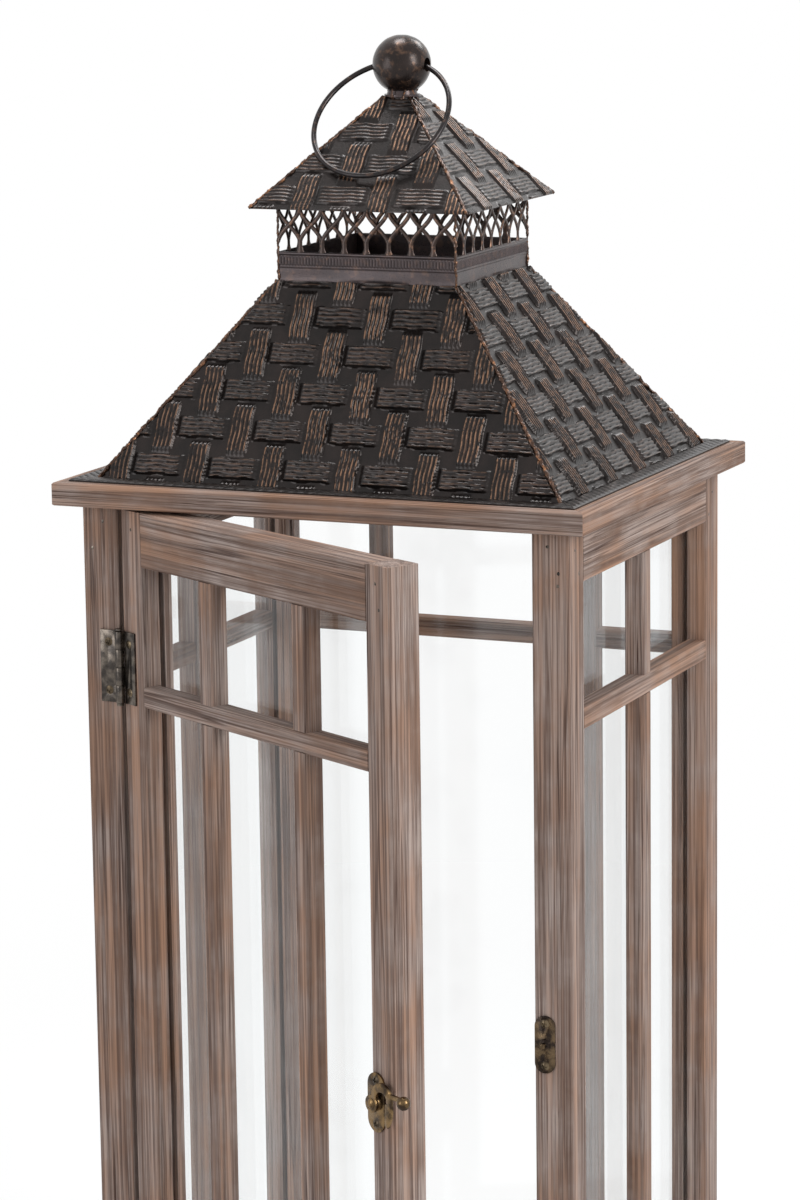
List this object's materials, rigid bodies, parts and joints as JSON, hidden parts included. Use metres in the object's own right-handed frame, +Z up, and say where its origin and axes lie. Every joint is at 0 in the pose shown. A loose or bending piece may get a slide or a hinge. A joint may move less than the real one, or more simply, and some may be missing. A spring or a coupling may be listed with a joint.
{
  "type": "floor lantern",
  "caption": "Tall weathered-wood candle lantern with a hipped embossed metal roof, pierced vent band, ball finial with ring, glazed panels and a hinged latched door.",
  "frame": {"origin": "centre of the underside of the base, on the floor", "axes": "+Z up, the door side faces -Y, +X to the right seen from the front"},
  "size_m": [0.33, 0.4103, 0.882],
  "materials": {
    "wood": "weathered, grey-brown wash over reddish timber",
    "glass": "clear",
    "roof_metal": "dark bronze with rubbed copper highlights",
    "bronze": "dark bronze with rubbed copper highlights",
    "hinge_steel": "grey, tarnished",
    "brass": "antiqued"
  },
  "bodies": {
    "frame": {"back_bar": "wood", "back_glass": "glass", "back_rail_bottom": "wood", "back_rail_top": "wood", "back_upright_left": "wood", "back_upright_right": "wood", "base_back": "wood", "base_front": "wood", "base_left": "wood", "base_right": "wood", "cap_back": "roof_metal", "cap_front": "roof_metal", "cap_left": "roof_metal", "cap_right": "roof_metal", "cornice_back": "wood", "cornice_front": "wood", "cornice_left": "wood", "cornice_right": "wood", "finial_ball": "bronze", "finial_seat": "bronze", "floor_panel": "wood", "hinge_leaves_post": "hinge_steel", "hinge_pins": "brass", "hinge_screws_post": "brass", "left_bar": "wood", "left_glass": "glass", "left_rail_bottom": "wood", "left_rail_top": "wood", "left_upright": "wood", "post_back_left": "wood", "post_back_right": "wood", "post_front_left": "wood", "post_front_right": "wood", "right_bar": "wood", "right_glass": "glass", "right_rail_bottom": "wood", "right_rail_top": "wood", "right_upright": "wood", "roof_back": "roof_metal", "roof_front": "roof_metal", "roof_left": "roof_metal", "roof_right": "roof_metal", "strike_plate": "brass", "strike_screws": "brass", "vent_band": "bronze"},
    "door": {"door_bar": "wood", "door_glass": "glass", "door_rail_bottom": "wood", "door_rail_top": "wood", "door_stile_hinge": "wood", "door_stile_latch": "wood", "door_upright_left": "wood", "door_upright_right": "wood", "hinge_leaves_door": "hinge_steel", "hinge_screws_door": "brass", "latch_plate": "brass", "latch_screws": "brass"},
    "hook": {"latch_hook": "brass"},
    "ring": {"ring_handle": "bronze"}
  },
  "joints": [
    {"name": "door_hinge", "type": "hinge", "parent": "frame", "child": "door", "pos_m": [-0.12875, -0.1298, 0.316], "axis": [0, 0, -1], "range_deg": [-29.3, 140.7]},
    {"name": "hook_pivot", "type": "hinge", "parent": "door", "child": "hook", "pos_m": [0.08158, -0.24817, 0.3138], "axis": [-0.4894, -0.8721, 0], "range_deg": [0, 95]},
    {"name": "ring_pivot", "type": "hinge", "parent": "frame", "child": "ring", "pos_m": [0, 0, 0.8648], "axis": [-0.9976, 0.0698, 0], "range_deg": [0, 275]}
  ]
}
